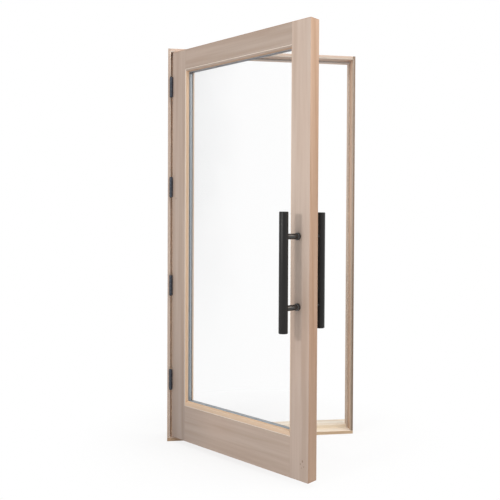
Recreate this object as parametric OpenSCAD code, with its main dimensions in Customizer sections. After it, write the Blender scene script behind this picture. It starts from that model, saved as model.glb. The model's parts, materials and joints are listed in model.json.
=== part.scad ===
// Out-swing sauna door: a glazed wooden door leaf hung on four butt hinges in a rabbeted wooden
// frame with a stepped sill, with a round bar pull on each side.
// X runs along the wall from the hinge side to the strike side, +Y goes into the room, +Z is up.
// The origin is in the middle of the outer side face of the hinge jamb, which is screwed to the wall.

/* [Frame] */
// Outside width of the frame
frame_w = 990; // [850:1:1200]
// Outside height of the frame
frame_h = 2032; // [1900:1:2200]
// Thickness of the jambs at the rabbet, beside the door
lip_t = 14; // [12:0.5:22]
// Thickness of the head at the rabbet, above the door
head_lip_t = 17; // [12:0.5:22]
// Bevel on the front edge of the jambs and the head, next to the door
lip_bevel = 5; // [1:0.5:7]
// How far the stop stands in from the rabbet
stop_rise = 12; // [12:0.5:18]
// Depth of the stop behind the door
stop_d = 20; // [16:1:60]
// Small bevel on the long edges of the frame
frame_arris = 1.5; // [0.5:0.5:3]

/* [Sill] */
// Height of the tread in front of the stop
tread_h = 17; // [12:0.5:22]
// Height of the sill at the face of its stop
sill_stop_h = 36; // [30:1:45]
// Height of the sill at its back edge
sill_back_h = 40; // [36:1:50]
// Depth of the sill from front to back
sill_d = 144; // [110:1:200]

/* [Door leaf] */
// Thickness of the door leaf
door_t = 57; // [45:1:65]
// Gap between the door and the jambs
side_gap = 5; // [5:0.5:6]
// Gap between the door and the head
top_gap = 5; // [5:0.5:10]
// Gap between the door and the sill
bottom_gap = 8; // [6:0.5:15]
// Gap between the closed door and the stops
stop_gap = 5; // [5:0.5:8]
// Width of the stile on the hinge side
hinge_stile_w = 104; // [90:1:140]
// Width of the stile on the free side
free_stile_w = 110; // [90:1:140]
// Height of the top rail
top_rail_h = 101; // [80:1:160]
// Height of the bottom rail
bottom_rail_h = 182; // [120:1:260]
// How much narrower the free edge is on the inner face, so that it swings past the jamb
free_edge_bevel = 3; // [3:0.5:6]
// Bevel round the opening, which is also how deep the beads sit
opening_arris = 2.5; // [1:0.5:4]
// Angle at which the door stands open
door_open = 52.5; // [0:0.5:160]

/* [Glazing] */
// Thickness of each pane
pane_t = 5; // [4:1:6]
// Air gap between the panes
air_gap = 12; // [8:1:16]
// Depth of the glass behind the outer face of the door
glass_set = 18; // [14:0.5:20]
// Width of the side beads
side_bead_w = 8; // [8:0.5:16]
// Width of the top beads
top_bead_w = 12; // [8:0.5:20]
// Width of the bottom beads
bottom_bead_w = 22; // [12:0.5:28]
// Width of the sloping part of each bead
bead_slope_w = 5; // [3:0.5:6]
// Height of the square nose of each bead next to the glass
bead_nose = 2; // [1:0.5:4]
// How far the beads cover the edge of the glass
glass_cover = 6; // [4:0.5:7]
// How far the spacer bar shows past the beads
spacer_show = 1; // [0.5:0.5:3]

/* [Hinges] */
// Height of each hinge
hinge_h = 102; // [89:1:127]
// Width of the leaf that is let into the wood
hinge_leaf_w = 44; // [30:1:50]
// Thickness of a hinge leaf
leaf_t = 2.5; // [2:0.1:3.5]
// Outside diameter of the hinge barrel
barrel_d = 16; // [12:0.5:18]
// Diameter of the hinge pin
pin_d = 9; // [6:0.5:10]
// Space between the pin and the knuckles of the door leaf, all round
pin_fit = 0.05; // [0.03:0.01:0.1]
// Gap between neighbouring knuckles
knuckle_gap = 0.5; // [0.3:0.1:1]
// Gap between the barrel and the face of the frame
barrel_gap = 0.5; // [0.4:0.1:2]
// Height of the pin's button at each end
button_h = 2.5; // [2:0.5:8]
// Bevel round the rim of that button
button_bevel = 1; // [0.5:0.5:1.5]
// Height of the top hinge's centre below the top of the frame
top_hinge_down = 200; // [150:1:260]
// Height of the upper hinge's centre above the floor
upper_hinge_up = 1318; // [1200:1:1400]
// Height of the lower hinge's centre above the floor
lower_hinge_up = 812; // [700:1:900]
// Height of the bottom hinge's centre above the floor
bottom_hinge_up = 324; // [200:1:360]

/* [Pulls] */
// Diameter of the pull bar
bar_d = 40; // [25:1:42]
// Length of the pull bar
bar_len = 516; // [420:1:700]
// Height of the bar's middle above the floor
pull_up = 928; // [800:1:1100]
// Distance from the free edge of the door to the middle of the pull
pull_in = 66; // [45:1:75]
// Distance between the posts
post_pitch = 305; // [250:1:400]
// Distance from the face of the door to the middle of the bar
pull_reach = 90; // [65:1:100]
// Diameter of the posts
post_d = 25; // [14:1:28]
// Diameter of the collar at the foot of each post
collar_d = 33; // [30:1:45]
// Height of that collar
collar_h = 9; // [4:1:14]
// Length over which the collar tapers down to the post
collar_taper = 3; // [1:0.5:6]
// Bevel round each end of the bar
bar_bevel = 2; // [1:0.5:4]
// Gap between the end of a post and the bar it holds
saddle_gap = 0.1; // [0.05:0.05:0.3]

/* [Seals] */
// Width of the rubber seal on the stop
seal_w = 10; // [8:0.5:10.5]
// How far the seal stands out from the stop
seal_h = 4; // [2:0.5:4]
// Thickness of the seal's flat foot
seal_foot_t = 1; // [0.8:0.1:1.5]

/* [Hidden] */
$fn = 64;
// How far a cut runs past the surface it opens, and a length beyond any part of the door
past = 1;
far = 4000;

// Frame planes
rabbet_d = door_t + stop_gap;
frame_d = rabbet_d + stop_d;
front_y = -frame_d / 2;
stop_y = front_y + rabbet_d;
back_y = frame_d / 2;
floor_z = -frame_h / 2;
top_z = frame_h / 2;

// Door planes, with the door closed
door_x0 = lip_t + side_gap;
door_x1 = frame_w - lip_t - side_gap;
door_z0 = floor_z + tread_h + bottom_gap;
door_z1 = top_z - head_lip_t - top_gap;
door_h = door_z1 - door_z0;
opening_x0 = door_x0 + hinge_stile_w;
opening_x1 = door_x1 - free_stile_w;
opening_z0 = door_z0 + bottom_rail_h;
opening_z1 = door_z1 - top_rail_h;

// Glazing, from the outer face inwards
unit_t = 2 * pane_t + air_gap;
inner_bead_set = glass_set + unit_t;
glass_x0 = opening_x0 + side_bead_w - glass_cover;
glass_x1 = opening_x1 - side_bead_w + glass_cover;
glass_z0 = opening_z0 + bottom_bead_w - glass_cover;
glass_z1 = opening_z1 - top_bead_w + glass_cover;
spacer_h = glass_cover + spacer_show;

// Hinges
barrel_r = barrel_d / 2;
axis_x = lip_t + side_gap / 2;
axis_y = front_y - barrel_gap - barrel_r;
frame_knuckles = [0, 2, 4];
door_knuckles = [1, 3];
knuckle_pitch = hinge_h / (len(frame_knuckles) + len(door_knuckles));
bottom_hinge_z = floor_z + bottom_hinge_up;
lower_hinge_z = floor_z + lower_hinge_up;
upper_hinge_z = floor_z + upper_hinge_up;
top_hinge_z = top_z - top_hinge_down;
hinge_zs = [bottom_hinge_z, lower_hinge_z, upper_hinge_z, top_hinge_z];

// Pulls, and the two door faces they stand on
outer_y = front_y;
inner_y = front_y + door_t;
pull_x = door_x1 - pull_in;
pull_z = floor_z + pull_up;

// Colours
pale_wood = "#c7b29c";
warm_wood = "#cfae92";
sill_wood = "#e2d2b7";
dark_metal = "#2b2828";
hinge_metal = "#40464f";
seal_grey = "#7d7a74";
glass_tint = [0.90, 0.95, 0.96, 0.3];
bar_grey = "#8c96a0";

// Turns a closed-door piece about the hinge pins to where the door stands open
module on_open_door() {
    translate([axis_x, axis_y, 0])
        rotate([0, 0, -door_open])
            translate([-axis_x, -axis_y, 0])
                children();
}

// Stands a flat outline, drawn in X and Y, up along Z
module along_z(z0, z1) {
    translate([0, 0, z0]) linear_extrude(height = z1 - z0) children();
}

// Lays a flat outline, drawn in Y and Z, along X
module along_x(x0, x1) {
    translate([x0, 0, 0])
        rotate([90, 0, 90])
            linear_extrude(height = x1 - x0)
                children();
}

// Lays a flat outline, drawn in X and Z, along Y
module along_y(y0, y1) {
    translate([0, y1, 0])
        rotate([90, 0, 0])
            linear_extrude(height = y1 - y0)
                children();
}

// Outline of the sill in Y and Z: front tread, stop and a top that rises towards the room
module sill_outline() {
    e = frame_arris;
    polygon([
        [front_y, floor_z], [front_y + sill_d, floor_z],
        [front_y + sill_d, floor_z + sill_back_h - e], [front_y + sill_d - e, floor_z + sill_back_h],
        [stop_y + e, floor_z + sill_stop_h], [stop_y, floor_z + sill_stop_h - e],
        [stop_y, floor_z + tread_h], [front_y + e, floor_z + tread_h], [front_y, floor_z + tread_h - e]
    ]);
}

module sill() {
    color(sill_wood) along_x(0, frame_w) sill_outline();
}

// Funnel that bevels the front edges of the jambs and the head, mitred at their corners
module doorway_bevel() {
    wide = lip_bevel + past;
    throat = front_y + lip_bevel;
    intersection() {
        along_z(floor_z, top_z)
            polygon([
                [lip_t - wide, front_y - past], [frame_w - lip_t + wide, front_y - past],
                [frame_w - lip_t, throat], [lip_t, throat]
            ]);
        along_x(0, frame_w)
            polygon([
                [front_y - past, floor_z], [front_y - past, top_z - head_lip_t + wide],
                [throat, top_z - head_lip_t], [throat, floor_z]
            ]);
    }
}

// Outline of the thin part of a jamb beside the door, in X and Y
module jamb_lip() {
    translate([0, front_y]) square([lip_t, frame_d]);
}

// Outline of the stop of a jamb, in X and Y
module jamb_stop() {
    e = frame_arris;
    polygon([
        [0, stop_y], [lip_t + stop_rise - e, stop_y], [lip_t + stop_rise, stop_y + e],
        [lip_t + stop_rise, back_y - e], [lip_t + stop_rise - e, back_y], [0, back_y]
    ]);
}

// A jamb that stands on the sill, its stop ending under the stop of the head
module plain_jamb() {
    difference() {
        union() {
            along_z(floor_z, top_z) jamb_lip();
            along_z(floor_z, top_z - head_lip_t - stop_rise) jamb_stop();
        }
        doorway_bevel();
        along_x(-far, far) sill_coping();
    }
}

// The sill's outline without its bevels at the front, which a jamb is scribed over
module sill_coping() {
    polygon([
        [front_y - far, floor_z - far], [back_y + far, floor_z - far], [back_y + far, floor_z + sill_back_h],
        [front_y + sill_d, floor_z + sill_back_h],
        [stop_y + frame_arris, floor_z + sill_stop_h], [stop_y, floor_z + sill_stop_h - frame_arris],
        [stop_y, floor_z + tread_h], [front_y - far, floor_z + tread_h]
    ]);
}

module hinge_jamb() {
    color(pale_wood)
        difference() {
            plain_jamb();
            for (z = hinge_zs) frame_leaf_recess(z);
        }
}

module strike_jamb() {
    color(pale_wood)
        translate([frame_w, 0, 0]) mirror([1, 0, 0]) plain_jamb();
}

// The head sits between the jambs, its stop running from one to the other
module head_jamb() {
    e = frame_arris;
    z0 = top_z - head_lip_t;
    color(pale_wood)
        difference() {
            along_x(lip_t, frame_w - lip_t)
                polygon([
                    [front_y, top_z], [front_y, z0], [stop_y, z0],
                    [stop_y, z0 - stop_rise + e], [stop_y + e, z0 - stop_rise],
                    [back_y - e, z0 - stop_rise], [back_y, z0 - stop_rise + e], [back_y, top_z]
                ]);
            doorway_bevel();
        }
}

// Outline of a seal, in U along the stop and V out of it: a flat foot with a round bead, far
// enough from the rabbet's corner for the door to close on it
module seal_outline() {
    r = seal_h / 2;
    bead_u = seal_w - seal_foot_t - r;
    square([seal_w, seal_foot_t]);
    translate([bead_u - r, 0]) square([2 * r, r]);
    translate([bead_u, r]) circle(r = r);
}

module hinge_jamb_seal() {
    color(seal_grey)
        along_z(floor_z + tread_h, top_z - head_lip_t - seal_w)
            translate([lip_t, stop_y]) mirror([0, 1]) seal_outline();
}

module strike_jamb_seal() {
    color(seal_grey)
        translate([frame_w, 0, 0]) mirror([1, 0, 0])
            along_z(floor_z + tread_h, top_z - head_lip_t - seal_w)
                translate([lip_t, stop_y]) mirror([0, 1]) seal_outline();
}

module head_seal() {
    color(seal_grey)
        along_x(lip_t, frame_w - lip_t)
            translate([stop_y, top_z - head_lip_t]) rotate([0, 0, -90]) mirror([0, 1]) seal_outline();
}

// Space of the glazed opening, with its bevelled edges on both faces
module opening_space() {
    translate([opening_x0, front_y - past, opening_z0])
        cube([opening_x1 - opening_x0, door_t + 2 * past, opening_z1 - opening_z0]);
    flared_edge(front_y, 1);
    flared_edge(front_y + door_t, -1);
}

// A shallow funnel whose wide end lies on the door face at y0, narrowing in the direction dir
module flared_edge(y0, dir) {
    wide = opening_arris + past;
    mouth = y0 - dir * past;
    throat = y0 + dir * opening_arris;
    intersection() {
        along_z(opening_z0 - wide, opening_z1 + wide)
            polygon([
                [opening_x0 - wide, mouth], [opening_x1 + wide, mouth],
                [opening_x1, throat], [opening_x0, throat]
            ]);
        along_x(opening_x0 - wide, opening_x1 + wide)
            polygon([
                [mouth, opening_z0 - wide], [mouth, opening_z1 + wide],
                [throat, opening_z1], [throat, opening_z0]
            ]);
    }
}

module hinge_stile() {
    color(pale_wood)
        on_open_door()
            difference() {
                translate([door_x0, front_y, door_z0]) cube([hinge_stile_w, door_t, door_h]);
                opening_space();
                for (z = hinge_zs) door_leaf_recess(z);
            }
}

// The free edge slopes back so that its inner corner clears the strike jamb as the door swings
module free_stile() {
    color(pale_wood)
        on_open_door()
            difference() {
                along_z(door_z0, door_z1)
                    polygon([
                        [opening_x1, front_y], [door_x1, front_y],
                        [door_x1 - free_edge_bevel, front_y + door_t], [opening_x1, front_y + door_t]
                    ]);
                opening_space();
            }
}

module top_rail() {
    color(warm_wood)
        on_open_door()
            difference() {
                translate([opening_x0, front_y, opening_z1])
                    cube([opening_x1 - opening_x0, door_t, top_rail_h]);
                opening_space();
            }
}

// The bottom rail carries the glass on a raised strip between the beads
module bottom_rail() {
    color(warm_wood)
        on_open_door() {
            difference() {
                translate([opening_x0, front_y, door_z0])
                    cube([opening_x1 - opening_x0, door_t, bottom_rail_h]);
                opening_space();
            }
            translate([glass_x0, front_y + glass_set, opening_z0 - past])
                cube([glass_x1 - glass_x0, unit_t, glass_z0 - opening_z0 + past]);
        }
}

module pane(set) {
    color(glass_tint)
        on_open_door()
            translate([glass_x0, front_y + set, glass_z0])
                cube([glass_x1 - glass_x0, pane_t, glass_z1 - glass_z0]);
}

module outer_pane() {
    pane(glass_set);
}

module inner_pane() {
    pane(glass_set + pane_t + air_gap);
}

// Hollow bar round the edge of the glass that holds the two panes apart
module spacer_bar() {
    s = spacer_h;
    color(bar_grey)
        on_open_door()
            translate([glass_x0, front_y + glass_set + pane_t, glass_z0])
                difference() {
                    cube([glass_x1 - glass_x0, air_gap, glass_z1 - glass_z0]);
                    translate([s, -past, s])
                        cube([glass_x1 - glass_x0 - 2 * s, air_gap + 2 * past, glass_z1 - glass_z0 - 2 * s]);
                }
}

// Section of a bead of width w: U out from the opening's wall, V from the door face to the glass
module bead_section(w, depth) {
    a = opening_arris;
    polygon([
        [0, a], [w - bead_slope_w, a], [w, depth - bead_nose], [w, depth], [0, depth]
    ]);
}

// Cuts the mitred ends of a bead: an outline in X and Z, the whole depth of the door
module bead_ends(side) {
    x0 = opening_x0;
    x1 = opening_x1;
    z0 = opening_z0;
    z1 = opening_z1;
    sw = side_bead_w;
    tw = top_bead_w;
    bw = bottom_bead_w;
    along_y(front_y, front_y + door_t)
        polygon(
            side == "hinge" ? [[x0, z0], [x0 + sw, z0 + bw], [x0 + sw, z1 - tw], [x0, z1]] :
            side == "free" ? [[x1, z0], [x1, z1], [x1 - sw, z1 - tw], [x1 - sw, z0 + bw]] :
            side == "top" ? [[x0, z1], [x0 + sw, z1 - tw], [x1 - sw, z1 - tw], [x1, z1]] :
            [[x0, z0], [x1, z0], [x1 - sw, z0 + bw], [x0 + sw, z0 + bw]]
        );
}

// A straight bead along one side of the opening, its section laid from the face at y = 0
module bead_run(side, depth) {
    if (side == "hinge")
        along_z(opening_z0, opening_z1)
            translate([opening_x0, 0]) bead_section(side_bead_w, depth);
    if (side == "free")
        along_z(opening_z0, opening_z1)
            translate([opening_x1, 0]) mirror([1, 0]) bead_section(side_bead_w, depth);
    if (side == "top")
        along_x(opening_x0, opening_x1)
            translate([0, opening_z1]) rotate([0, 0, -90]) bead_section(top_bead_w, depth);
    if (side == "bottom")
        along_x(opening_x0, opening_x1)
            translate([0, opening_z0]) mirror([1, -1]) bead_section(bottom_bead_w, depth);
}

module outer_bead(side) {
    color(warm_wood)
        on_open_door()
            intersection() {
                translate([0, front_y, 0]) bead_run(side, glass_set);
                bead_ends(side);
            }
}

module inner_bead(side) {
    color(warm_wood)
        on_open_door()
            intersection() {
                translate([0, front_y + door_t, 0]) mirror([0, 1, 0])
                    bead_run(side, door_t - inner_bead_set);
                bead_ends(side);
            }
}

// Recesses that take the hinge leaves flush
module frame_leaf_recess(z) {
    translate([lip_t - leaf_t, front_y - past, z - hinge_h / 2])
        cube([leaf_t + past, hinge_leaf_w + past, hinge_h]);
}

module door_leaf_recess(z) {
    translate([door_x0 - past, front_y - past, z - hinge_h / 2])
        cube([leaf_t + past, hinge_leaf_w + past, hinge_h]);
}

// The plate of a leaf at x0, with a tongue out to the barrel for each knuckle in the list
module leaf_plate(x0, z, list) {
    translate([x0, front_y, z - hinge_h / 2]) cube([leaf_t, hinge_leaf_w, hinge_h]);
    for (k = list)
        translate([x0, axis_y, knuckle_z(z, k)])
            cube([leaf_t, front_y - axis_y + past, knuckle_pitch - knuckle_gap]);
}

function knuckle_z(z, k) = z - hinge_h / 2 + k * knuckle_pitch + knuckle_gap / 2;

// The leaf on the frame holds the first, middle and last knuckle and the pin
module frame_leaf(z) {
    color(hinge_metal)
        union() {
            leaf_plate(lip_t - leaf_t, z, frame_knuckles);
            for (k = frame_knuckles)
                translate([axis_x, axis_y, knuckle_z(z, k)])
                    cylinder(d = barrel_d, h = knuckle_pitch - knuckle_gap);
            translate([axis_x, axis_y, z - hinge_h / 2]) cylinder(d = pin_d, h = hinge_h);
            translate([axis_x, axis_y, z]) pin_button(1);
            translate([axis_x, axis_y, z]) pin_button(-1);
        }
}

// Bevelled button at one end of the pin, a little slimmer than the barrel
module pin_button(dir) {
    b = button_bevel;
    r = barrel_r - b;
    mirror([0, 0, dir > 0 ? 0 : 1])
        translate([0, 0, hinge_h / 2 - knuckle_gap])
            rotate_extrude()
                polygon([
                    [0, 0], [pin_d / 2, 0], [r, knuckle_gap + b],
                    [r, button_h - b], [r - b, button_h], [0, button_h]
                ]);
}

// The leaf on the door holds the second and fourth knuckle, which turn on the pin
module door_leaf(z) {
    color(hinge_metal)
        on_open_door()
            difference() {
                union() {
                    leaf_plate(door_x0, z, door_knuckles);
                    for (k = door_knuckles)
                        translate([axis_x, axis_y, knuckle_z(z, k)])
                            cylinder(d = barrel_d, h = knuckle_pitch - knuckle_gap);
                }
                translate([axis_x, axis_y, z - hinge_h])
                    cylinder(d = pin_d + 2 * pin_fit, h = 2 * hinge_h);
            }
}

// Upright bar of a pull, standing off the door face at y0 in the direction dir
module pull_bar(y0, dir) {
    r = bar_d / 2;
    color(dark_metal)
        on_open_door()
            translate([pull_x, y0 + dir * pull_reach, pull_z - bar_len / 2])
                rotate_extrude()
                    polygon([
                        [0, 0], [r - bar_bevel, 0], [r, bar_bevel],
                        [r, bar_len - bar_bevel], [r - bar_bevel, bar_len], [0, bar_len]
                    ]);
}

// Post between the door face and the bar, with a tapered collar at its foot and a hollow end for the bar
module pull_post(y0, dir, z) {
    color(dark_metal)
        on_open_door()
            difference() {
                translate([pull_x, y0, z])
                    rotate([dir > 0 ? -90 : 90, 0, 0])
                        rotate_extrude()
                            polygon([
                                [0, 0], [collar_d / 2, 0], [collar_d / 2, collar_h],
                                [post_d / 2, collar_h + collar_taper],
                                [post_d / 2, pull_reach], [0, pull_reach]
                            ]);
                translate([pull_x, y0 + dir * pull_reach, z - bar_len])
                    cylinder(d = bar_d + 2 * saddle_gap, h = 2 * bar_len);
            }
}

sill();
hinge_jamb();
strike_jamb();
head_jamb();
hinge_jamb_seal();
strike_jamb_seal();
head_seal();
hinge_stile();
free_stile();
top_rail();
bottom_rail();
outer_pane();
inner_pane();
spacer_bar();
outer_bead("hinge");  // outer_bead_hinge_side
outer_bead("free");  // outer_bead_free_side
outer_bead("top");  // outer_bead_top
outer_bead("bottom");  // outer_bead_bottom
inner_bead("hinge");  // inner_bead_hinge_side
inner_bead("free");  // inner_bead_free_side
inner_bead("top");  // inner_bead_top
inner_bead("bottom");  // inner_bead_bottom
frame_leaf(bottom_hinge_z);  // bottom_hinge_frame_leaf
frame_leaf(lower_hinge_z);  // lower_hinge_frame_leaf
frame_leaf(upper_hinge_z);  // upper_hinge_frame_leaf
frame_leaf(top_hinge_z);  // top_hinge_frame_leaf
door_leaf(bottom_hinge_z);  // bottom_hinge_door_leaf
door_leaf(lower_hinge_z);  // lower_hinge_door_leaf
door_leaf(upper_hinge_z);  // upper_hinge_door_leaf
door_leaf(top_hinge_z);  // top_hinge_door_leaf
pull_bar(outer_y, -1);  // outer_pull_bar
pull_post(outer_y, -1, pull_z + post_pitch / 2);  // outer_pull_upper_post
pull_post(outer_y, -1, pull_z - post_pitch / 2);  // outer_pull_lower_post
pull_bar(inner_y, 1);  // inner_pull_bar
pull_post(inner_y, 1, pull_z + post_pitch / 2);  // inner_pull_upper_post
pull_post(inner_y, 1, pull_z - post_pitch / 2);  // inner_pull_lower_post
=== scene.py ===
"""Finishes of an out-swing sauna door with its frame, laid out as an add-on and run as a script."""

import json
import math

import bmesh
import bpy
from bpy.props import FloatProperty, FloatVectorProperty, IntProperty, PointerProperty
from mathutils import Matrix, Vector


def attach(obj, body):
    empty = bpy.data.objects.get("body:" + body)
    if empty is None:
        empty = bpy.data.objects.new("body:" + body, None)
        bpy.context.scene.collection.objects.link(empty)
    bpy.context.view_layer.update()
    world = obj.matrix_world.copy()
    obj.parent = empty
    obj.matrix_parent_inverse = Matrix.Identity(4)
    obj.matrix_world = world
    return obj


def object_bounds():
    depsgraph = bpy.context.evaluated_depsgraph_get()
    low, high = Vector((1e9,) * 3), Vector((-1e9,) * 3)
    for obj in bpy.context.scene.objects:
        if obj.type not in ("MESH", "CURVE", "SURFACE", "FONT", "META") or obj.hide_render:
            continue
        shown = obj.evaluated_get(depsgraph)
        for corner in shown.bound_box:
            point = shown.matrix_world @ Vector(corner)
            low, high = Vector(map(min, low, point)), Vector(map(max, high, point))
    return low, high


bl_info = {
    "name": "Sauna Door",
    "version": (1, 0, 0),
    "blender": (4, 5, 0),
    "location": "3D View > Sidebar > Sauna Door",
    "description": "Wood, glass and metal finishes and fittings of a glazed sauna door in its frame",
    "category": "Object",
}

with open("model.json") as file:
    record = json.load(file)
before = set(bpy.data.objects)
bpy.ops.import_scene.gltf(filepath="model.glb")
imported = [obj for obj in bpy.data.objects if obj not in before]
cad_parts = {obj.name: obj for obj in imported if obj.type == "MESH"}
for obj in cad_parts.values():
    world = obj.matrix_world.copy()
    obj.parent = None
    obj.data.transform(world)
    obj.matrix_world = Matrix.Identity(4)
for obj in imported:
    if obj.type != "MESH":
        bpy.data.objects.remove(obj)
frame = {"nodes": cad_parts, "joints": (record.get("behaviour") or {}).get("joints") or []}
CAD_BOX = [list(corner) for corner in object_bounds()]

# The joint's lower limit is the closed door, so it says how far the leaf stands open at rest
SWING = frame["joints"][0]
OPEN = math.radians(-SWING["range_deg"][0])
UP = Vector((0, 0, 1))
ACROSS_WALL = Vector((1, 0, 0))
INTO_ROOM = Vector((0, 1, 0))
ALONG_LEAF = Vector((math.cos(OPEN), -math.sin(OPEN), 0))
INTO_LEAF = Vector((math.sin(OPEN), math.cos(OPEN), 0))

HINGES = ("bottom", "lower", "upper", "top")
BEAD_SIDES = ("hinge_side", "free_side", "top", "bottom")
MM = 0.001

# How much of the way along the grain, and of a knot's length, the figure of the wood changes
STREAK_RUN = 0.035
CLOUD_RUN = 0.5
FIBRE_RUN = 0.012
KNOT_RUN = 0.62

# Tints that are multiplied into a board's colour
ROSY = (1.0, 0.955, 0.93)
LATE_LINE = (0.83, 0.75, 0.66)
FIBRE_LINE = (0.90, 0.86, 0.80)
END_GRAIN = (0.88, 0.80, 0.70)

SLOT_PITCH = 6 * MM
SCREW_SPAN = 78 * MM
SCREW_ROWS = (0.70, 0.36)
SCREW_RECESS = 0.9 * MM
SCREW_STEPS = 32
GRUB_FROM_FOOT = 18 * MM
STRIP_WIDE = 1.6 * MM
STRIP_PROUD = 1.2 * MM

WHITE = (1.0, 1.0, 1.0, 1.0)
LAMP_AIM = Vector((0.5, -0.2, 0.0))

# Name, place, width and colour of each lamp
LAMPS = (
    ("key_lamp", Vector((-1.16, -2.06, 0.42)), 0.24, (1.0, 0.98, 0.97)),
    ("top_lamp", Vector((0.9, -0.9, 3.7)), 2.6, (1.0, 0.985, 0.97)),
    ("side_lamp", Vector((-1.3, -2.3, 2.3)), 1.2, (1.0, 0.985, 0.97)),
    ("fill_lamp", Vector((3.5, -1.6, 2.1)), 1.8, (1.0, 0.87, 0.74)),
)

# Place, angles in radians and lens shift of the camera
CAMERA_PLACE = Vector((0.0526, -3.7683, 0.1257))
CAMERA_YAW = 0.1563
CAMERA_PITCH = -0.0167
CAMERA_ROLL = 0.0056
CAMERA_SHIFT = (-0.080, -0.032)


def span(node, direction):
    """Lowest and highest reach of a CAD node along a direction, in metres."""
    reach = [vertex.co.dot(direction) for vertex in frame["nodes"][node].data.vertices]
    return min(reach), max(reach)


class Wire:
    """A number in a material, on which Python's operators add Math nodes."""

    def __init__(self, finish, socket):
        self.finish = finish
        self.socket = socket

    def calc(self, operation, *values):
        """Adds one Math node to these values."""
        return self.finish.node("ShaderNodeMath", {"operation": operation}, values)

    def __add__(self, other):
        return self.calc("ADD", self, other)

    __radd__ = __add__

    def __sub__(self, other):
        return self.calc("SUBTRACT", self, other)

    def __rsub__(self, other):
        return self.calc("SUBTRACT", other, self)

    def __mul__(self, other):
        return self.calc("MULTIPLY", self, other)

    __rmul__ = __mul__

    def __truediv__(self, other):
        return self.calc("DIVIDE", self, other)

    def __rtruediv__(self, other):
        return self.calc("DIVIDE", other, self)

    def __pow__(self, other):
        return self.calc("POWER", self, other)

    def __abs__(self):
        return self.calc("ABSOLUTE", self)

    def sine(self):
        """Sine of the number, in radians."""
        return self.calc("SINE", self)

    def ramp(self, low, high):
        """0 below low, 1 above high and a smooth rise between them, or a fall if low is above high."""
        settings = {"interpolation_type": "SMOOTHSTEP"}
        values = {"Value": self, "From Min": low, "From Max": high}
        return self.finish.node("ShaderNodeMapRange", settings, values)


class Finish:
    """A material, or the world, while its nodes are made."""

    def __init__(self, owner):
        owner.use_nodes = True
        self.owner = owner
        self.tree = owner.node_tree
        self.tree.nodes.clear()

    def node(self, kind, settings=None, values=(), out=0):
        """Adds a node with its settings and its inputs, by place or by name, and returns one output."""
        made = self.tree.nodes.new(kind)
        for key, value in (settings or {}).items():
            setattr(made, key, value)
        pairs = values.items() if isinstance(values, dict) else enumerate(values)
        for place, value in pairs:
            if isinstance(value, Wire):
                self.tree.links.new(value.socket, made.inputs[place])
            else:
                made.inputs[place].default_value = value
        return Wire(self, made.outputs[out]) if made.outputs else None

    def place(self, out="Object"):
        """Where a point lies on the object at rest, or which way its surface faces there."""
        return self.node("ShaderNodeTexCoord", None, (), out)

    def along(self, vector, direction):
        """How far a vector reaches along a direction."""
        settings = {"operation": "DOT_PRODUCT"}
        return self.node("ShaderNodeVectorMath", settings, (vector, tuple(direction)), "Value")

    def point(self, x, y, z):
        """A vector from three numbers."""
        return self.node("ShaderNodeCombineXYZ", None, (x, y, z))

    def noise(self, vector, scale, detail=2.0, rough=0.5):
        """Smooth noise between 0 and 1."""
        values = {"Vector": vector, "Scale": scale, "Detail": detail, "Roughness": rough}
        return self.node("ShaderNodeTexNoise", None, values)

    def blend(self, amount, first, second, how="MIX"):
        """Mixes two colours."""
        settings = {"data_type": "RGBA", "blend_type": how}
        return self.node("ShaderNodeMix", settings, {0: amount, 6: first, 7: second}, 2)

    def bump(self, height, depth, strength=1.0):
        """Turns a height between 0 and 1 into a surface normal, depth metres deep."""
        return self.node("ShaderNodeBump", None, {"Strength": strength, "Distance": depth, "Height": height})

    def looked_at(self):
        """1 for a ray from the camera, a mirror or glass, and 0 for a ray that gathers light."""
        rays = ("Is Camera Ray", "Is Glossy Ray", "Is Transmission Ray")
        camera, glossy, through = [self.node("ShaderNodeLightPath", None, (), ray) for ray in rays]
        return (camera + glossy + through).ramp(0.0, 1.0)

    def surface(self, **values):
        """Ends the material in one shader, with these inputs, underscores standing for spaces."""
        named = {key.replace("_", " "): value for key, value in values.items()}
        shader = self.node("ShaderNodeBsdfPrincipled", None, named)
        self.node("ShaderNodeOutputMaterial", None, (shader,))
        return self.owner


def new_finish(name):
    """Starts a material."""
    return Finish(bpy.data.materials.new(name))


def solid(colour):
    """A colour with full opacity."""
    return (colour[0], colour[1], colour[2], 1.0)


def knot_marks(knots, run, side, grain, width):
    """How far the knots push the growth rings aside at each point, and how dark their hearts are."""
    pushed = 0.0
    dark = 0.0
    for centre, radius in knots:
        off = side - centre.dot(width)
        up = (run - centre.dot(grain)) * KNOT_RUN
        gone = (off * off + up * up) ** 0.5
        pushed = pushed + gone.ramp(radius * 4.2, 0.0) * (radius * 1.1)
        dark = dark + gone.ramp(radius, radius * 0.55)
    return pushed, dark


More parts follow.
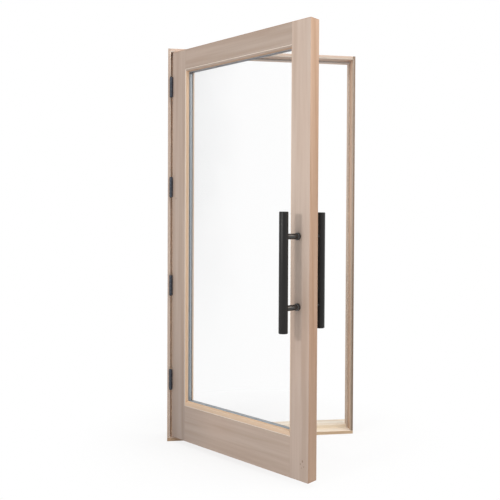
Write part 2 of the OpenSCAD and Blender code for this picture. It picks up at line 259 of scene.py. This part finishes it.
def wood(
    name, care, grain, face, seed, shade=1.0, knots=(), tones=None, flank=None, pale_bevel_and_highlight=None, tints_and_painted_shade=(),
):
    """Planed softwood: rings round a pith beside the board, long streaks, fine fibres and small knots.

    grain is the way the fibres run and face the way the board's wide side looks. seed gives each
    board its own figure, and a knot is a point on the surface with a radius. tones are the board's
    own pale and tan colours, on the sill and most beads made brighter as painted light, and shade
    makes them lighter or darker, on most boards as painted light and shade. flank tints the narrow
    sides, on the jambs and the head as painted light and shade. The bevel colour is that of the
    bevels, where they cut through the surface: paler wood with a painted highlight, and painted
    shade on the top beads. Each tint step tints the board from one place along a direction to
    another, and on beyond it; some steps are painted shade.
    """
    finish = new_finish(name)
    spot = finish.place()
    width = grain.cross(face)
    run = finish.along(spot, grain)
    side = finish.along(spot, width)
    deep = finish.along(spot, face)
    board = finish.point(side + 7.3 * seed, deep + 3.1 * seed, run * STREAK_RUN + 1.7 * seed)
    pushed, dark = knot_marks(knots, run, side, grain, width)

    # The distance to a pith outside the board gives the rings, each pale at first and dark late on
    wander = finish.noise(board, 9.0, 2.0)
    pith = 0.11 + 0.05 * math.sin(seed * 2.4)
    reach = side + pith * math.cos(seed) + (wander - 0.5) * 0.030 + pushed
    depth = deep + pith * 0.8
    ring = (reach * reach + depth * depth) ** 0.5 / care.ring_gap
    late = (ring * math.tau).sine() * 0.5 + 0.5
    late = late ** 3.0

    streak = finish.noise(board, 38.0, 3.0, 0.55)
    cloud = finish.noise(finish.point(side * 2.0, deep + seed, run * CLOUD_RUN + seed), 3.0, 2.0)
    fibre = finish.noise(finish.point(side + seed, deep, run * FIBRE_RUN), 900.0, 3.0, 0.6)

    pale, tan = tones or (care.pale, care.tan)
    # shade lightens or darkens the board, on most boards as painted light and shade
    pale = [channel * shade for channel in pale]
    tan = [channel * shade for channel in tan]
    colour = finish.blend(streak.ramp(0.30, 0.72), solid(pale), solid(tan))
    colour = finish.blend(cloud.ramp(0.35, 0.70) * 0.8, colour, solid(ROSY), "MULTIPLY")
    colour = finish.blend(late * care.ring_contrast, colour, solid(LATE_LINE), "MULTIPLY")
    colour = finish.blend(fibre.ramp(0.55, 0.8) * 0.35, colour, solid(FIBRE_LINE), "MULTIPLY")

    # Narrow sides, end grain and bevels are told apart by the way they look
    facing = finish.place("Normal")
    narrow = abs(finish.along(facing, width)).ramp(0.8, 0.95)
    # On the jambs and the head the tint of the narrow sides is painted light and shade
    colour = finish.blend(narrow, colour, solid(flank or care.flank), "MULTIPLY")
    ends = abs(finish.along(facing, grain)).ramp(0.6, 0.9)
    colour = finish.blend(ends * 0.85, colour, solid(END_GRAIN), "MULTIPLY")
    tilt = abs(finish.along(facing, face))
    cut = tilt.ramp(0.52, 0.64) * tilt.ramp(0.86, 0.76)
    # The bevels take a paler colour: paler wood with a painted highlight, and painted shade on the top beads
    colour = finish.blend(cut, colour, solid(pale_bevel_and_highlight or care.pale_bevel_and_highlight))
    # Tint steps: some darken a board towards the floor or the hinges as painted shade
    for direction, begins, full, tint in tints_and_painted_shade:
        share = finish.along(spot, direction).ramp(begins, full)
        colour = finish.blend(share, colour, solid(tint), "MULTIPLY")
    if knots:
        colour = finish.blend(dark * 0.55, colour, solid(care.knot))

    height = fibre * 0.6 + late * 0.4
    return finish.surface(
        Base_Color=colour,
        Roughness=0.46 + fibre * 0.12 + ends * 0.15,
        IOR=1.45,
        Normal=finish.bump(height, 0.00012),
    )


def enamel(name, colour, gloss_low, gloss_high, grit, metallic=0.0, ior=1.5):
    """Painted metal: an even dark coat, slightly pebbled, with patches of more and less gloss."""
    finish = new_finish(name)
    spot = finish.place()
    pebble = finish.noise(spot, grit, 2.0)
    patch = finish.noise(spot, 14.0, 3.0)
    tone = finish.blend(patch.ramp(0.35, 0.7) * 0.5, solid(colour), solid([c * 1.45 for c in colour]))
    return finish.surface(
        Base_Color=tone,
        Roughness=gloss_low + patch * (gloss_high - gloss_low),
        Metallic=metallic,
        IOR=ior,
        Normal=finish.bump(pebble, 0.00003),
    )


def clear_glass(name, tint):
    """Thin clear glass: what lies behind shows through, and more is reflected at a flat angle. A faint
    painted reflection in the grey of the tint lies towards the top of the hinge side.
    """
    finish = new_finish(name)
    glance = finish.node("ShaderNodeLayerWeight", None, {"Blend": 0.5}, "Facing")
    spot = finish.place()
    smear = finish.noise(spot, 3.0, 3.0)
    # Painted reflection: a faint grey sheet, thicker towards the top of the hinge side
    side = finish.along(spot, ALONG_LEAF) + smear * 0.3
    painted_reflection = side.ramp(0.75, 0.25) * finish.along(spot, UP).ramp(-0.7, 0.4)
    return finish.surface(
        Base_Color=solid(tint),
        Roughness=0.02 + smear.ramp(0.5, 0.9) * 0.02,
        IOR=1.5,
        Alpha=0.006 + painted_reflection * 0.05 + glance ** 4.0 * 0.6,
    )


def spacer_metal(name, colour, top):
    """Bright bar between the panes, with its row of small breather slots, and painted shade along the top.
    """
    finish = new_finish(name)
    spot = finish.place()
    rise = finish.along(spot, UP)
    run = finish.along(spot, ALONG_LEAF)
    slots = ((rise + run) * (math.tau / SLOT_PITCH)).sine().ramp(0.80, 0.95)
    brushed = finish.noise(finish.point(rise * 0.02, run * 0.02, finish.along(spot, INTO_LEAF)), 2500.0)
    tone = finish.blend(slots * 0.35, solid(colour), (0.1, 0.1, 0.11, 1.0))
    # Painted shade along the top of the bar
    shaded = rise.ramp(top - 16 * MM, top - 12 * MM)
    tone = finish.blend(shaded, tone, (0.15, 0.13, 0.13, 1.0))
    return finish.surface(
        Base_Color=tone,
        Metallic=0.55,
        Roughness=0.34 + brushed * 0.12,
    )


def rubber(name, colour):
    """Soft extruded seal, dull and dusty."""
    finish = new_finish(name)
    dust = finish.noise(finish.place(), 120.0, 4.0)
    tone = finish.blend(dust.ramp(0.45, 0.75) * 0.5, solid(colour), solid([c * 1.5 for c in colour]))
    return finish.surface(Base_Color=tone, Roughness=0.72 + dust * 0.15, Normal=finish.bump(dust, 0.00005))


def dress(node, material):
    """Gives a CAD node its material."""
    mesh = frame["nodes"][node].data
    mesh.materials.clear()
    mesh.materials.append(material)


def ease(node, width):
    """Rounds the sharp edges of a CAD node by a hair, so that they catch the light."""
    piece = frame["nodes"][node]
    weld = piece.modifiers.new("Weld", "WELD")
    weld.merge_threshold = 0.01 * MM
    flat = piece.modifiers.new("Whole faces", "DECIMATE")
    flat.decimate_type = "DISSOLVE"
    flat.angle_limit = math.radians(0.3)
    bevel = piece.modifiers.new("Eased edges", "BEVEL")
    bevel.width = width
    bevel.segments = 2
    bevel.limit_method = "ANGLE"
    bevel.angle_limit = math.radians(25)
    bevel.use_clamp_overlap = True


def new_piece(name, shape, material, body):
    """Makes an object from a bmesh, gives it its finish and lets it move with a body."""
    mesh = bpy.data.meshes.new(name)
    shape.normal_update()
    shape.to_mesh(mesh)
    shape.free()
    mesh.materials.append(material)
    piece = bpy.data.objects.new(name, mesh)
    bpy.context.scene.collection.objects.link(piece)
    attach(piece, body)
    return piece


def frame_of(origin, out):
    """A matrix whose Z looks out of a surface at origin."""
    turn = Vector(out).to_track_quat("Z", "Y").to_matrix().to_4x4()
    return Matrix.Translation(origin) @ turn


def add_screw(shape, place, head, recess):
    """A flat screw head with a cross recess: a grid in rings, pressed in along four arms."""
    radii = [0.0, 0.14, 0.26, 0.38, 0.50, 0.62, 0.82, 0.94, 1.0]
    rings = []
    for share in radii:
        ring = []
        for step in range(SCREW_STEPS if share else 1):
            turn = math.tau * step / SCREW_STEPS
            arm = abs(math.sin(2 * turn)) < 0.42 + 0.5 * (0.3 - share)
            deep = share < 0.6 and (arm or share < 0.2)
            sunk = recess * (1 - share / 0.62) ** 0.5 if deep else 0.0
            dome = 0.12 * head * (1 - share * share)
            where = Vector((math.cos(turn) * share * head, math.sin(turn) * share * head, dome - sunk))
            ring.append(shape.verts.new(place @ where))
        rings.append(ring)
    for inner, outer in zip(rings, rings[1:]):
        for step in range(SCREW_STEPS):
            after = (step + 1) % SCREW_STEPS
            if len(inner) == 1:
                face = shape.faces.new((inner[0], outer[step], outer[after]))
            else:
                face = shape.faces.new((inner[step], outer[step], outer[after], inner[after]))
            face.smooth = True


def add_strip(shape, corners, inward, out, thickness, height):
    """A strip round a rectangle: a half-round section mitred at the four corners."""
    section = [(0.0, 0.0), (thickness, 0.0)]
    for step in range(1, 6):
        turn = math.pi * step / 6
        section.append((thickness / 2 * (1 + math.cos(turn)), height * math.sin(turn)))
    loops = []
    for corner, pull in zip(corners, inward):
        loops.append([shape.verts.new(corner + pull * (thickness - u) + out * v) for u, v in section])
    for number, loop in enumerate(loops):
        after = loops[(number + 1) % len(loops)]
        for step in range(len(section)):
            following = (step + 1) % len(section)
            shape.faces.new((loop[step], loop[following], after[following], after[step]))


class WoodCare(bpy.types.PropertyGroup):
    """Colours and grain of the boards."""

    pale: FloatVectorProperty(
        name="Pale wood", description="Colour of the spring growth", subtype="COLOR",
        size=3, min=0, max=1, default=(0.60, 0.492, 0.420),
    )
    tan: FloatVectorProperty(
        name="Tan wood", description="Colour of the darker streaks", subtype="COLOR",
        size=3, min=0, max=1, default=(0.51, 0.395, 0.320),
    )
    knot: FloatVectorProperty(
        name="Knot", description="Colour at the heart of a knot", subtype="COLOR",
        size=3, min=0, max=1, default=(0.13, 0.06, 0.03),
    )
    flank: FloatVectorProperty(
        name="Board edge", description="Tint of the narrow sides of the boards", subtype="COLOR",
        size=3, min=0, max=1, default=(0.98, 0.83, 0.70),
    )
    # The sill tones are the sill's own paler wood, made brighter still as painted light
    sill_pale: FloatVectorProperty(
        name="Pale sill", description="Colour of the spring growth of the sill", subtype="COLOR",
        size=3, min=0, max=1, default=(0.95, 0.90, 0.78),
    )
    sill_tan: FloatVectorProperty(
        name="Tan sill", description="Colour of the darker streaks of the sill", subtype="COLOR",
        size=3, min=0, max=1, default=(0.88, 0.79, 0.66),
    )
    # The bead tones are the beads' own colour made brighter as painted light, for all but the top beads
    lit_bead_pale: FloatVectorProperty(
        name="Pale bead", description="Colour of the spring growth of the glazing beads", subtype="COLOR",
        size=3, min=0, max=1, default=(0.82, 0.63, 0.46),
    )
    lit_bead_tan: FloatVectorProperty(
        name="Tan bead", description="Colour of the darker streaks of the glazing beads", subtype="COLOR",
        size=3, min=0, max=1, default=(0.72, 0.54, 0.39),
    )
    # The bevel colour is paler wood with a painted highlight along the edges
    pale_bevel_and_highlight: FloatVectorProperty(
        name="Fresh cut", description="Colour of the bevels cut through the surface", subtype="COLOR",
        size=3, min=0, max=1, default=(0.92, 0.83, 0.73),
    )
    ring_gap: FloatProperty(
        name="Ring gap", description="Distance between growth rings", unit="LENGTH",
        min=0.001, max=0.02, default=0.0042,
    )
    ring_contrast: FloatProperty(
        name="Ring contrast", description="How dark the late growth is", subtype="FACTOR",
        min=0, max=1, default=0.55,
    )
    edge: FloatProperty(
        name="Eased edge", description="Rounding of the boards' edges", unit="LENGTH",
        min=0, max=0.003, default=0.0007,
    )


class FittingCare(bpy.types.PropertyGroup):
    """Colours and sizes of the metal, glass and rubber."""

    pull: FloatVectorProperty(
        name="Pull coat", description="Colour of the bars and posts", subtype="COLOR",
        size=3, min=0, max=1, default=(0.010, 0.0092, 0.0092),
    )
    hinge: FloatVectorProperty(
        name="Hinge coat", description="Colour of the hinges", subtype="COLOR",
        size=3, min=0, max=1, default=(0.038, 0.045, 0.060),
    )
    glass: FloatVectorProperty(
        name="Glass tint", description="Tint of the panes", subtype="COLOR",
        size=3, min=0, max=1, default=(0.55, 0.58, 0.60),
    )
    spacer: FloatVectorProperty(
        name="Spacer bar", description="Colour of the bar between the panes", subtype="COLOR",
        size=3, min=0, max=1, default=(0.36, 0.42, 0.47),
    )
    seal: FloatVectorProperty(
        name="Seal", description="Colour of the rubber seals", subtype="COLOR",
        size=3, min=0, max=1, default=(0.65, 0.56, 0.47),
    )
    head_seal: FloatVectorProperty(
        name="Head seal", description="Colour of the cooler grey seal under the head", subtype="COLOR",
        size=3, min=0, max=1, default=(0.56, 0.52, 0.49),
    )
    screw_head: FloatProperty(
        name="Screw head", description="Diameter of the hinge screws", unit="LENGTH",
        min=0.004, max=0.012, default=0.0088,
    )
    screws: IntProperty(
        name="Screws", description="Screws in each hinge leaf", min=2, max=6, default=4,
    )


class StudioCare(bpy.types.PropertyGroup):
    """Light, floor and camera."""

    sky: FloatProperty(
        name="Sky", description="Strength of the light from all round", min=0, max=3, default=0.40,
    )
    key: FloatProperty(
        name="Key lamp", description="Power of the small lamp on the left", unit="POWER",
        min=0, max=2000, default=12.5,
    )
    top: FloatProperty(
        name="Top lamp", description="Power of the large lamp overhead", unit="POWER",
        min=0, max=2000, default=105,
    )
    fill: FloatProperty(
        name="Fill lamp", description="Power of the warm lamp on the right", unit="POWER",
        min=0, max=2000, default=34,
    )
    side: FloatProperty(
        name="Side lamp", description="Power of the lamp high on the left", unit="POWER",
        min=0, max=2000, default=12,
    )
    lens: FloatProperty(
        name="Lens", description="Focal length on a 36 mm sensor", min=20, max=200, default=51.19,
    )


class DoorCare(bpy.types.PropertyGroup):
    """All that a user would change."""

    wood: PointerProperty(type=WoodCare)
    fittings: PointerProperty(type=FittingCare)
    studio: PointerProperty(type=StudioCare)


class SAUNA_OT_frame_boards(bpy.types.Operator):
    """Gives the jambs, the head and the sill their wood"""

    bl_idname = "sauna.frame_boards"
    bl_label = "Frame boards"

    def execute(self, context):
        care = context.scene.sauna_door.wood
        # The strike jamb is darker at its outer front edge, and painted shade darkens it towards the floor
        corner = span("strike_jamb", ACROSS_WALL)[1] - span("strike_jamb", INTO_ROOM)[0]
        dark_edge_and_painted_shade = (
            (ACROSS_WALL - INTO_ROOM, corner - 0.0205, corner - 0.0185, (0.60, 0.55, 0.50)),
            (-UP, -0.50, 0.40, (0.78, 0.77, 0.74)),
        )
        # Node, grain, wide side, seed, shade, tint of the rabbet's sides, and tint steps. The shade makes
        # the head lighter and the strike jamb darker, and the tint makes the jambs' rabbets lighter and the
        # head's underside darker: all painted light and shade
        boards = (
            ("hinge_jamb", UP, INTO_ROOM, 1.0, 1.02, (1.45, 1.36, 1.26), ()),
            ("strike_jamb", UP, INTO_ROOM, 2.0, 0.84, (1.62, 1.48, 1.34), dark_edge_and_painted_shade),
            ("head_jamb", ACROSS_WALL, INTO_ROOM, 3.0, 1.27, (0.76, 0.72, 0.70), ()),
        )
        for node, grain, face, seed, shade, rabbet, tints_and_painted_shade in boards:
            name = f"{node}_wood"
            dress(node, wood(name, care, grain, face, seed, shade, flank=rabbet, tints_and_painted_shade=tints_and_painted_shade))
            ease(node, care.edge)

        # The sill is the palest board, its own paler wood made brighter still as painted light from above,
        # and darker along its front edge and towards the hinges
        front = span("sill", INTO_ROOM)[0]
        dress("sill", wood(
            "sill_wood", care, ACROSS_WALL, UP, 4.0,
            tones=(care.sill_pale, care.sill_tan), flank=(0.98, 0.97, 0.94),
            tints_and_painted_shade=(
                (-INTO_ROOM, -front - 0.0016, -front - 0.0004, (0.66, 0.56, 0.46)),
                (-ACROSS_WALL, -0.16, -0.04, (0.74, 0.64, 0.60)),
            ),
        ))
        ease("sill", care.edge)
        return {"FINISHED"}


class SAUNA_OT_leaf_boards(bpy.types.Operator):
    """Gives the stiles and rails of the leaf their wood, with a few small knots"""

    bl_idname = "sauna.leaf_boards"
    bl_label = "Leaf boards"

    def execute(self, context):
        care = context.scene.sauna_door.wood
        outer = span("hinge_stile", INTO_LEAF)[0]
        hinge_edge = span("hinge_stile", ALONG_LEAF)[0]
        free_edge = span("free_stile", ALONG_LEAF)[1]
        foot, crown = span("free_stile", UP)

        def on_face(along, height):
            return ALONG_LEAF * along + INTO_LEAF * outer + UP * height

        stile_knots = [(on_face(hinge_edge + 0.028, foot + 1.235), 0.004)]
        free_knots = [
            (on_face(free_edge - 0.034, foot + 0.088), 0.0042),
            (on_face(free_edge - 0.046, foot + 0.074), 0.0030),
            (on_face(free_edge - 0.026, foot + 0.066), 0.0026),
            (on_face(free_edge - 0.040, foot + 0.058), 0.0022),
        ]
        # Painted shade: the hinge stile darker towards the floor, the free stile darker in its lower half
        # and the bottom rail darker towards the hinges. The leaf's top and bottom edges are darker too
        low = (-UP, 0.0, 1.0, (0.76, 0.76, 0.78))
        lower_half = (-UP, -0.1, 0.8, (0.86, 0.86, 0.87))
        hinge_end = (-ALONG_LEAF, -hinge_edge - 0.36, -hinge_edge - 0.10, (0.86, 0.86, 0.87))
        crown_edge = (UP, crown - 0.0040, crown - 0.0020, (0.84, 0.71, 0.62))
        foot_edge = (-UP, -foot - 0.0036, -foot - 0.0016, (0.82, 0.70, 0.62))

        # Node, grain, seed, shade, knots and tint steps; the shade makes the free stile the lightest, as
        # painted light
        boards = (
            ("hinge_stile", UP, 5.0, 0.95, stile_knots, (low, crown_edge, foot_edge)),
            ("free_stile", UP, 6.0, 1.14, free_knots, (lower_half, crown_edge, foot_edge)),
            ("top_rail", ALONG_LEAF, 7.0, 0.92, [], (crown_edge,)),
            ("bottom_rail", ALONG_LEAF, 8.0, 0.94, [], (hinge_end, foot_edge)),
        )
        for node, grain, seed, shade, knots, tints_and_painted_shade in boards:
            name = f"{node}_wood"
            dress(node, wood(name, care, grain, INTO_LEAF, seed, shade, knots, tints_and_painted_shade=tints_and_painted_shade))
            ease(node, care.edge)
        return {"FINISHED"}


class SAUNA_OT_beads(bpy.types.Operator):
    """Gives the glazing beads on both faces their wood"""

    bl_idname = "sauna.beads"
    bl_label = "Glazing beads"

    def execute(self, context):
        care = context.scene.sauna_door.wood
        # The beads facing up and sideways get brighter tones as painted light; the top beads, facing down,
        # are darker and have darker bevels as painted shade
        painted_lit = {"tones": (care.lit_bead_pale, care.lit_bead_tan), "flank": (1.0, 0.97, 0.93)}
        shaded = {"shade": 0.86, "pale_bevel_and_highlight": (0.50, 0.39, 0.34)}
        seed = 9.0
        for face in ("outer", "inner"):
            for side in BEAD_SIDES:
                node = f"{face}_bead_{side}"
                grain = UP if side.endswith("_side") else ALONG_LEAF
                look = shaded if side == "top" else painted_lit
                dress(node, wood(f"{node}_wood", care, grain, INTO_LEAF, seed, **look))
                ease(node, care.edge * 0.6)
                seed += 1.0
        return {"FINISHED"}


class SAUNA_OT_glazing(bpy.types.Operator):
    """Gives the panes their glass and the spacer its metal, and beds the panes in rubber strips"""

    bl_idname = "sauna.glazing"
    bl_label = "Glazing"

    def execute(self, context):
        care = context.scene.sauna_door.fittings
        glass = clear_glass("clear_glass", care.glass)
        dress("outer_pane", glass)
        dress("inner_pane", glass)
        dress("spacer_bar", spacer_metal("spacer_metal", care.spacer, span("spacer_bar", UP)[1]))
        strip = rubber("glazing_strip", [channel * 1.25 for channel in care.spacer])
        for face, out in (("outer", -INTO_LEAF), ("inner", INTO_LEAF)):
            self.bed(face, out, strip)
        return {"FINISHED"}

    def bed(self, face, out, material):
        """Lays a thin strip on the pane where the beads meet it."""
        left = span(f"{face}_bead_hinge_side", ALONG_LEAF)[1]
        right = span(f"{face}_bead_free_side", ALONG_LEAF)[0]
        top = span(f"{face}_bead_top", UP)[0]
        bottom = span(f"{face}_bead_bottom", UP)[1]
        level = span(f"{face}_pane", out)[1]
        corners = [
            ALONG_LEAF * along + UP * height + out * level
            for along, height in ((left, bottom), (right, bottom), (right, top), (left, top))
        ]
        inward = [ALONG_LEAF + UP, UP - ALONG_LEAF, -ALONG_LEAF - UP, ALONG_LEAF - UP]
        shape = bmesh.new()
        add_strip(shape, corners, inward, out, STRIP_WIDE, STRIP_PROUD)
        bmesh.ops.recalc_face_normals(shape, faces=shape.faces)
        new_piece(f"{face}_glazing_strip", shape, material, "door")


class SAUNA_OT_hinges(bpy.types.Operator):
    """Gives the hinges their dark coat and drives the screws into their leaves"""

    bl_idname = "sauna.hinges"
    bl_label = "Hinges"

    def execute(self, context):
        care = context.scene.sauna_door.fittings
        coat = enamel("hinge_coat", care.hinge, 0.28, 0.42, 900.0, 0.35)
        leaves = (("frame", ACROSS_WALL, INTO_ROOM, 1), ("door", ALONG_LEAF, INTO_LEAF, -1))
        for hinge in HINGES:
            for body, across, into, facing in leaves:
                node = f"{hinge}_hinge_{body}_leaf"
                dress(node, coat)
                ease(node, 0.3 * MM)
                self.screws(node, body, across * facing, into, coat, care)
        return {"FINISHED"}

    def screws(self, node, body, out, into, coat, care):
        """Two staggered rows of screws on the face of one leaf."""
        board = "hinge_jamb" if body == "frame" else "hinge_stile"
        front = span(board, into)[0]
        back = span(node, into)[1]
        low, high = span(node, UP)
        middle = (low + high) / 2

        # Both leaves lie flush: one in the side of the rabbet, where the seal starts, one in the stile
        level = span("hinge_jamb_seal", out)[0] if body == "frame" else span("hinge_stile", out)[1]
        head = care.screw_head / 2
        pitch = SCREW_SPAN / (care.screws - 1)
        shape = bmesh.new()
        for number in range(care.screws):
            rise = middle + pitch * (number - (care.screws - 1) / 2)
            reach = front + (back - front) * SCREW_ROWS[number % 2]
            place = frame_of(out * level + into * reach + UP * rise, out)
            add_screw(shape, place, head, SCREW_RECESS)
        new_piece(f"{node}_screws", shape, coat, body)


class SAUNA_OT_pulls(bpy.types.Operator):
    """Gives the pulls their black coat and fits the grub screws of their posts"""

    bl_idname = "sauna.pulls"
    bl_label = "Pulls"

    def execute(self, context):
        care = context.scene.sauna_door.fittings
        coat = enamel("pull_coat", care.pull, 0.34, 0.46, 1400.0, 0.0, 1.36)
        polish = enamel("post_coat", care.pull, 0.16, 0.24, 1400.0, 0.0, 1.65)
        steel = enamel("grub_screw_coat", [c * 2.2 for c in care.pull], 0.25, 0.35, 900.0, 0.8)
        for face, out in (("outer", -INTO_LEAF), ("inner", INTO_LEAF)):
            dress(f"{face}_pull_bar", coat)
            ease(f"{face}_pull_bar", 0.6 * MM)
            for post in ("upper", "lower"):
                node = f"{face}_pull_{post}_post"
                dress(node, polish)
                ease(node, 0.5 * MM)
                self.grub_screw(node, out, steel)
        return {"FINISHED"}

    def grub_screw(self, node, out, material):
        """A small screw under the post that clamps it to its stud."""
        left, right = span(node, ALONG_LEAF)
        foot, tip = span(node, out)
        shank = [v.co for v in frame["nodes"][node].data.vertices if v.co.dot(out) > (foot + tip) / 2]
        under = min(point.z for point in shank)
        shape = bmesh.new()
        where = ALONG_LEAF * ((left + right) / 2) + out * (foot + GRUB_FROM_FOOT) + UP * under
        add_screw(shape, frame_of(where, -UP), 2.4 * MM, 1.0 * MM)
        new_piece(f"{node}_grub_screw", shape, material, "door")


class SAUNA_OT_seals(bpy.types.Operator):
    """Gives the seals in the rabbet their rubber"""

    bl_idname = "sauna.seals"
    bl_label = "Seals"

    def execute(self, context):
        care = context.scene.sauna_door.fittings
        material = rubber("seal_rubber_finish", care.seal)
        dress("hinge_jamb_seal", material)
        dress("strike_jamb_seal", material)
        dress("head_seal", rubber("head_seal_finish", care.head_seal))
        return {"FINISHED"}


class SAUNA_OT_stage(bpy.types.Operator):
    """Lays the pale floor, and sets the world, the lamps and the camera"""

    bl_idname = "sauna.stage"
    bl_label = "Stage"

    def execute(self, context):
        care = context.scene.sauna_door.studio
        self.floor()
        self.world(care.sky)
        powers = (care.key, care.top, care.side, care.fill)
        for (name, place, width, colour), power in zip(LAMPS, powers):
            self.lamp(name, place, width, power, colour)
        self.camera(care.lens)
        context.scene.view_settings.view_transform = "Standard"
        return {"FINISHED"}

    def floor(self):
        """A wide disc whose far part is plain white, so that it meets the background unseen."""
        shape = bmesh.new()
        bmesh.ops.create_circle(shape, cap_ends=True, segments=96, radius=30.0)
        mesh = bpy.data.meshes.new("studio_floor")
        shape.to_mesh(mesh)
        shape.free()
        floor = bpy.data.objects.new("studio_floor", mesh)
        floor.location = (0.5, 0.0, CAD_BOX[0][2])
        bpy.context.scene.collection.objects.link(floor)

        finish = new_finish("floor_paint")
        spot = finish.place()
        away = finish.node("ShaderNodeVectorMath", {"operation": "LENGTH"}, (spot,), "Value")
        share = finish.looked_at() * (0.81 + 0.19 * away.ramp(0.35, 1.05))
        grain = finish.noise(spot, 40.0, 3.0)
        paint = finish.blend(grain * 0.1, (0.93, 0.93, 0.93, 1.0), (0.90, 0.90, 0.90, 1.0))
        lit = finish.node("ShaderNodeBsdfDiffuse", None, {"Color": paint})
        white = finish.node("ShaderNodeEmission", None, {"Color": WHITE, "Strength": 1.0})
        mixed = finish.node("ShaderNodeMixShader", None, (share, lit, white))
        finish.node("ShaderNodeOutputMaterial", None, (mixed,))
        mesh.materials.append(finish.owner)

    def world(self, strength):
        """White where it is looked at or mirrored, and softer where it lights."""
        world = bpy.data.worlds.new("studio_world")
        bpy.context.scene.world = world
        finish = Finish(world)
        soft = {"Color": (0.97, 0.98, 1.0, 1.0), "Strength": strength}
        lighting = finish.node("ShaderNodeBackground", None, soft)
        white = finish.node("ShaderNodeBackground", None, {"Color": WHITE, "Strength": 1.0})
        mixed = finish.node("ShaderNodeMixShader", None, (finish.looked_at(), lighting, white))
        finish.node("ShaderNodeOutputWorld", None, (mixed,))

    def lamp(self, name, place, width, power, colour):
        """A square soft lamp that looks at the door."""
        lamp = bpy.data.lights.new(name, "AREA")
        lamp.size = width
        lamp.energy = power
        lamp.color = colour
        holder = bpy.data.objects.new(name, lamp)
        holder.location = place
        holder.rotation_euler = (LAMP_AIM - place).to_track_quat("-Z", "Y").to_euler()
        bpy.context.scene.collection.objects.link(holder)

    def camera(self, lens):
        """A camera in front of the hinges, a little over a metre above the floor and nearly level."""
        ahead = math.cos(CAMERA_PITCH)
        look = Vector((math.sin(CAMERA_YAW) * ahead, math.cos(CAMERA_YAW) * ahead, math.sin(CAMERA_PITCH)))
        level = Vector((math.cos(CAMERA_YAW), -math.sin(CAMERA_YAW), 0.0))
        over = level.cross(look)
        right = level * math.cos(CAMERA_ROLL) + over * math.sin(CAMERA_ROLL)
        top = over * math.cos(CAMERA_ROLL) - level * math.sin(CAMERA_ROLL)
        camera = bpy.data.cameras.new("studio_camera")
        camera.sensor_width = 36.0
        camera.lens = lens
        camera.shift_x = CAMERA_SHIFT[0]
        camera.shift_y = CAMERA_SHIFT[1]
        holder = bpy.data.objects.new("studio_camera", camera)
        turn = Matrix((right, top, -look)).transposed().to_4x4()
        holder.matrix_world = Matrix.Translation(CAMERA_PLACE) @ turn
        bpy.context.scene.collection.objects.link(holder)
        bpy.context.scene.camera = holder


class SAUNA_PT_panel(bpy.types.Panel):
    """Lists the steps in the order in which they run"""

    bl_idname = "SAUNA_PT_panel"
    bl_label = "Sauna Door"
    bl_space_type = "VIEW_3D"
    bl_region_type = "UI"
    bl_category = "Sauna Door"

    def draw(self, context):
        for step in STEPS:
            self.layout.operator(step.bl_idname)
        care = context.scene.sauna_door
        for group in (care.wood, care.fittings, care.studio):
            box = self.layout.box()
            for name in group.bl_rna.properties.keys():
                if name not in ("rna_type", "name"):
                    box.prop(group, name)


STEPS = (
    SAUNA_OT_stage,
    SAUNA_OT_frame_boards,
    SAUNA_OT_leaf_boards,
    SAUNA_OT_beads,
    SAUNA_OT_glazing,
    SAUNA_OT_hinges,
    SAUNA_OT_pulls,
    SAUNA_OT_seals,
)
CLASSES = (WoodCare, FittingCare, StudioCare, DoorCare, *STEPS, SAUNA_PT_panel)


def register():
    """Adds the classes and the door's settings."""
    for cls in CLASSES:
        bpy.utils.register_class(cls)
    bpy.types.Scene.sauna_door = PointerProperty(type=DoorCare)


def unregister():
    """Takes the settings and the classes away again."""
    del bpy.types.Scene.sauna_door
    for cls in reversed(CLASSES):
        bpy.utils.unregister_class(cls)


def main():
    """Runs every step in order."""
    register()
    for step in STEPS:
        area, name = step.bl_idname.split(".")
        getattr(getattr(bpy.ops, area), name)()


if __name__ == "__main__":
    main()
